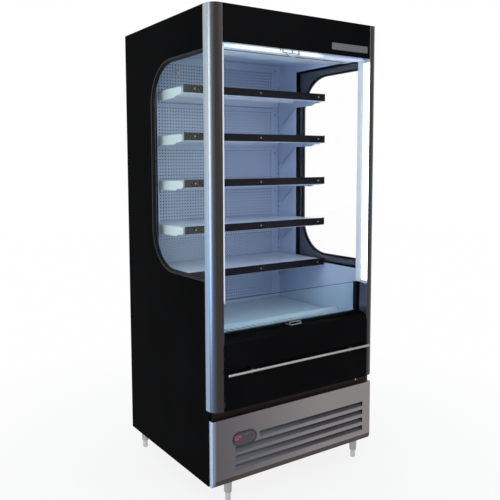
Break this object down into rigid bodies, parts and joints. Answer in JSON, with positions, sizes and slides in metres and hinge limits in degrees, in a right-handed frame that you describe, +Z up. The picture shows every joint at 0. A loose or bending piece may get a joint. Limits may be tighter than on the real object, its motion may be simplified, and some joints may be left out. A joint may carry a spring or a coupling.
{
  "type": "open multideck display fridge",
  "caption": "Free-standing open-front display fridge with lift-off shelves, side windows, glass riser, night curtain and machine bay on levelling feet.",
  "frame": {"origin": "on the floor, under the middle of the whole fridge's box", "axes": "+Z up, -Y out of the front opening, +X to the right of someone facing the opening"},
  "size_m": [0.89, 0.783, 2],
  "materials": {
    "black_panel": "gloss black powder coat",
    "post_finish": "satin warm grey anodised look",
    "stainless": "fine brushed",
    "bright_rail": "polished",
    "white_liner": "satin white",
    "white_shelf": "satin white",
    "price_rail": "satin black",
    "mask": "gloss blue-black",
    "glass": "clear",
    "gasket": "matt black",
    "trim": "satin",
    "lamp": "opal white, lit",
    "honeycomb": "white",
    "galvanised": "galvanised",
    "black_frame": "satin black",
    "coil": "mill finish fins",
    "fan_plastic": "black",
    "motor": "satin dark grey",
    "compressor": "semi-gloss black",
    "curtain_web": "aluminised woven",
    "curtain_bar": "dark satin",
    "controller": "smoked gloss",
    "key": "satin grey",
    "foot": "zinc plated"
  },
  "bodies": {
    "cabinet": {"left_side_panel": "black_panel", "right_side_panel": "black_panel", "side_liners": "white_liner", "window_masks": "mask", "window_panes": "glass", "window_seals": "gasket", "window_trims": "trim", "left_front_post": "post_finish", "right_front_post": "post_finish", "lamps": "lamp", "header_panel": "black_panel", "roof_panel": "black_panel", "back_panel": "galvanised", "machine_cover": "galvanised", "ceiling_panel": "white_liner", "air_honeycomb": "honeycomb", "rear_duct_panels": "white_liner", "shelf_uprights": "white_liner", "insulated_tub": "white_liner", "deck_pan": "white_shelf", "return_air_grille": "white_shelf", "riser_sill": "stainless", "riser_glass": "glass", "riser_channels": "gasket", "lower_front_panel": "black_panel", "bumper_rail": "bright_rail", "curtain_catch": "bright_rail", "curtain_web": "curtain_web", "grille_panel": "stainless", "controller": "controller", "base_frame": "black_frame", "leg_sleeves": "foot", "compressor": "compressor", "condenser_coil": "coil", "condenser_shroud": "galvanised", "evaporator_coil": "coil", "evaporator_fan_plate": "galvanised", "fan_motors": "motor", "drain_pan": "galvanised"},
    "shelf_unit_1": {"shelf_1": "white_shelf", "price_rail_1": "price_rail"},
    "shelf_unit_2": {"shelf_2": "white_shelf", "price_rail_2": "price_rail"},
    "shelf_unit_3": {"shelf_3": "white_shelf", "price_rail_3": "price_rail"},
    "shelf_unit_4": {"shelf_4": "white_shelf", "price_rail_4": "price_rail"},
    "shelf_unit_5": {"shelf_5": "white_shelf", "price_rail_5": "price_rail"},
    "curtain": {"curtain_bar": "curtain_bar"},
    "roller": {"curtain_roller": "curtain_web"},
    "condenser_wheel": {"condenser_fan": "fan_plastic"},
    "evaporator_wheel_left": {"evaporator_fan_left": "fan_plastic"},
    "evaporator_wheel_right": {"evaporator_fan_right": "fan_plastic"},
    "levelling_foot_front_left": {"foot_front_left": "foot"},
    "levelling_foot_front_right": {"foot_front_right": "foot"},
    "levelling_foot_rear_left": {"foot_rear_left": "foot"},
    "levelling_foot_rear_right": {"foot_rear_right": "foot"},
    "push_key_down": {"key_down": "key"},
    "push_key_up": {"key_up": "key"}
  },
  "joints": [
    {"name": "shelf_lift_1", "type": "hinge", "parent": "cabinet", "child": "shelf_unit_1", "pos_m": [0, 0.2855, 1.712], "axis": [-1, 0, 0], "range_deg": [0, 8]},
    {"name": "shelf_lift_2", "type": "hinge", "parent": "cabinet", "child": "shelf_unit_2", "pos_m": [0, 0.2855, 1.512], "axis": [-1, 0, 0], "range_deg": [0, 8]},
    {"name": "shelf_lift_3", "type": "hinge", "parent": "cabinet", "child": "shelf_unit_3", "pos_m": [0, 0.2855, 1.312], "axis": [-1, 0, 0], "range_deg": [0, 8]},
    {"name": "shelf_lift_4", "type": "hinge", "parent": "cabinet", "child": "shelf_unit_4", "pos_m": [0, 0.2855, 1.112], "axis": [-1, 0, 0], "range_deg": [0, 8]},
    {"name": "shelf_lift_5", "type": "hinge", "parent": "cabinet", "child": "shelf_unit_5", "pos_m": [0, 0.2855, 0.912], "axis": [-1, 0, 0], "range_deg": [0, 8]},
    {"name": "curtain_pull", "type": "slide", "parent": "cabinet", "child": "curtain", "axis": [0, 0, -1], "range_m": [0, 1.1], "stiffness_N_per_m": 10, "springref_m": -1, "deforming": ["curtain_web"]},
    {"name": "roller_turn", "type": "hinge", "parent": "cabinet", "child": "roller", "pos_m": [0, -0.3245, 1.925], "axis": [1, 0, 0], "range_deg": [0, 2820]},
    {"name": "condenser_fan_spin", "type": "hinge", "parent": "cabinet", "child": "condenser_wheel", "pos_m": [-0.09, -0.1995, 0.233], "axis": [0, 1, 0], "continuous": true},
    {"name": "evaporator_fan_spin_left", "type": "hinge", "parent": "cabinet", "child": "evaporator_wheel_left", "pos_m": [-0.19, -0.1305, 0.566], "axis": [0, 1, 0], "continuous": true},
    {"name": "evaporator_fan_spin_right", "type": "hinge", "parent": "cabinet", "child": "evaporator_wheel_right", "pos_m": [0.19, -0.1305, 0.566], "axis": [0, 1, 0], "continuous": true},
    {"name": "foot_screw_front_left", "type": "slide", "parent": "cabinet", "child": "levelling_foot_front_left", "axis": [0, 0, 1], "range_m": [-0.03, 0]},
    {"name": "foot_screw_front_right", "type": "slide", "parent": "cabinet", "child": "levelling_foot_front_right", "axis": [0, 0, 1], "range_m": [-0.03, 0]},
    {"name": "foot_screw_rear_left", "type": "slide", "parent": "cabinet", "child": "levelling_foot_rear_left", "axis": [0, 0, 1], "range_m": [-0.03, 0]},
    {"name": "foot_screw_rear_right", "type": "slide", "parent": "cabinet", "child": "levelling_foot_rear_right", "axis": [0, 0, 1], "range_m": [-0.03, 0]},
    {"name": "key_press_down", "type": "slide", "parent": "cabinet", "child": "push_key_down", "axis": [0, 1, 0], "range_m": [0, 0.0012], "stiffness_N_per_m": 300},
    {"name": "key_press_up", "type": "slide", "parent": "cabinet", "child": "push_key_up", "axis": [0, 1, 0], "range_m": [0, 0.0012], "stiffness_N_per_m": 300}
  ],
  "couplings": [
    {"joint": "roller_turn", "follows": "curtain_pull", "rad_per_m": 44.643}
  ]
}
